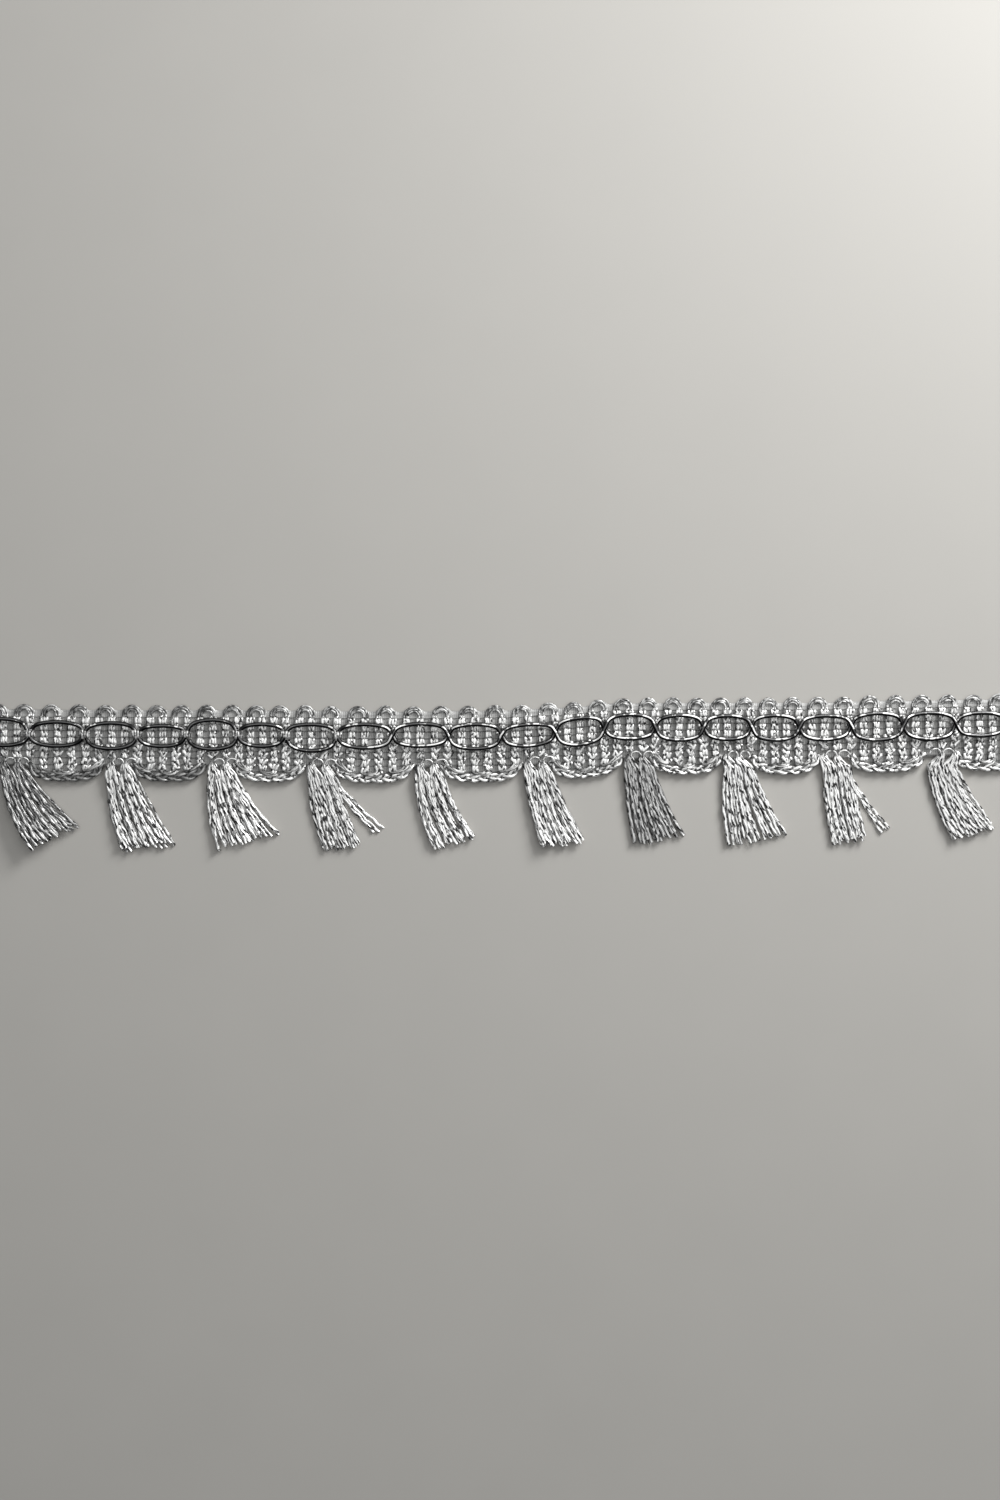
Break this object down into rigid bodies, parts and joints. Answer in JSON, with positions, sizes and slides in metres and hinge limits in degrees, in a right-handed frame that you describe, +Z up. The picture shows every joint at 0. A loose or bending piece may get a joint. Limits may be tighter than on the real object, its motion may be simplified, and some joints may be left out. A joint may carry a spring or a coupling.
{
  "type": "metallic braid trim",
  "caption": "Flat silver gimp braid trim with a picot edge, a chain of two bright cords, a scalloped edge and small cut tassels, laid out in a slight bend.",
  "frame": {"origin": "middle of the trim's box in plan, on the surface that it lies on", "axes": "+X along the trim, +Y from the tassels to the picots, +Z up from the surface through the trim's face"},
  "size_m": [0.1754, 0.0266, 0.0028],
  "materials": {
    "gimp_yarn": "silver metallised yarn, satin to bright",
    "bright_cord": "dark silver foil-wrapped cord, mirror bright",
    "tassel_yarn": "silver foil yarn with a twist, sparkling"
  },
  "bodies": {
    "root": {"braid_band": "gimp_yarn", "chain_cord_a": "bright_cord", "chain_cord_b": "bright_cord", "tassel_01": "tassel_yarn", "tassel_02": "tassel_yarn", "tassel_03": "tassel_yarn", "tassel_04": "tassel_yarn", "tassel_05": "tassel_yarn", "tassel_06": "tassel_yarn", "tassel_07": "tassel_yarn", "tassel_08": "tassel_yarn", "tassel_09": "tassel_yarn", "tassel_10": "tassel_yarn"}
  },
  "joints": []
}
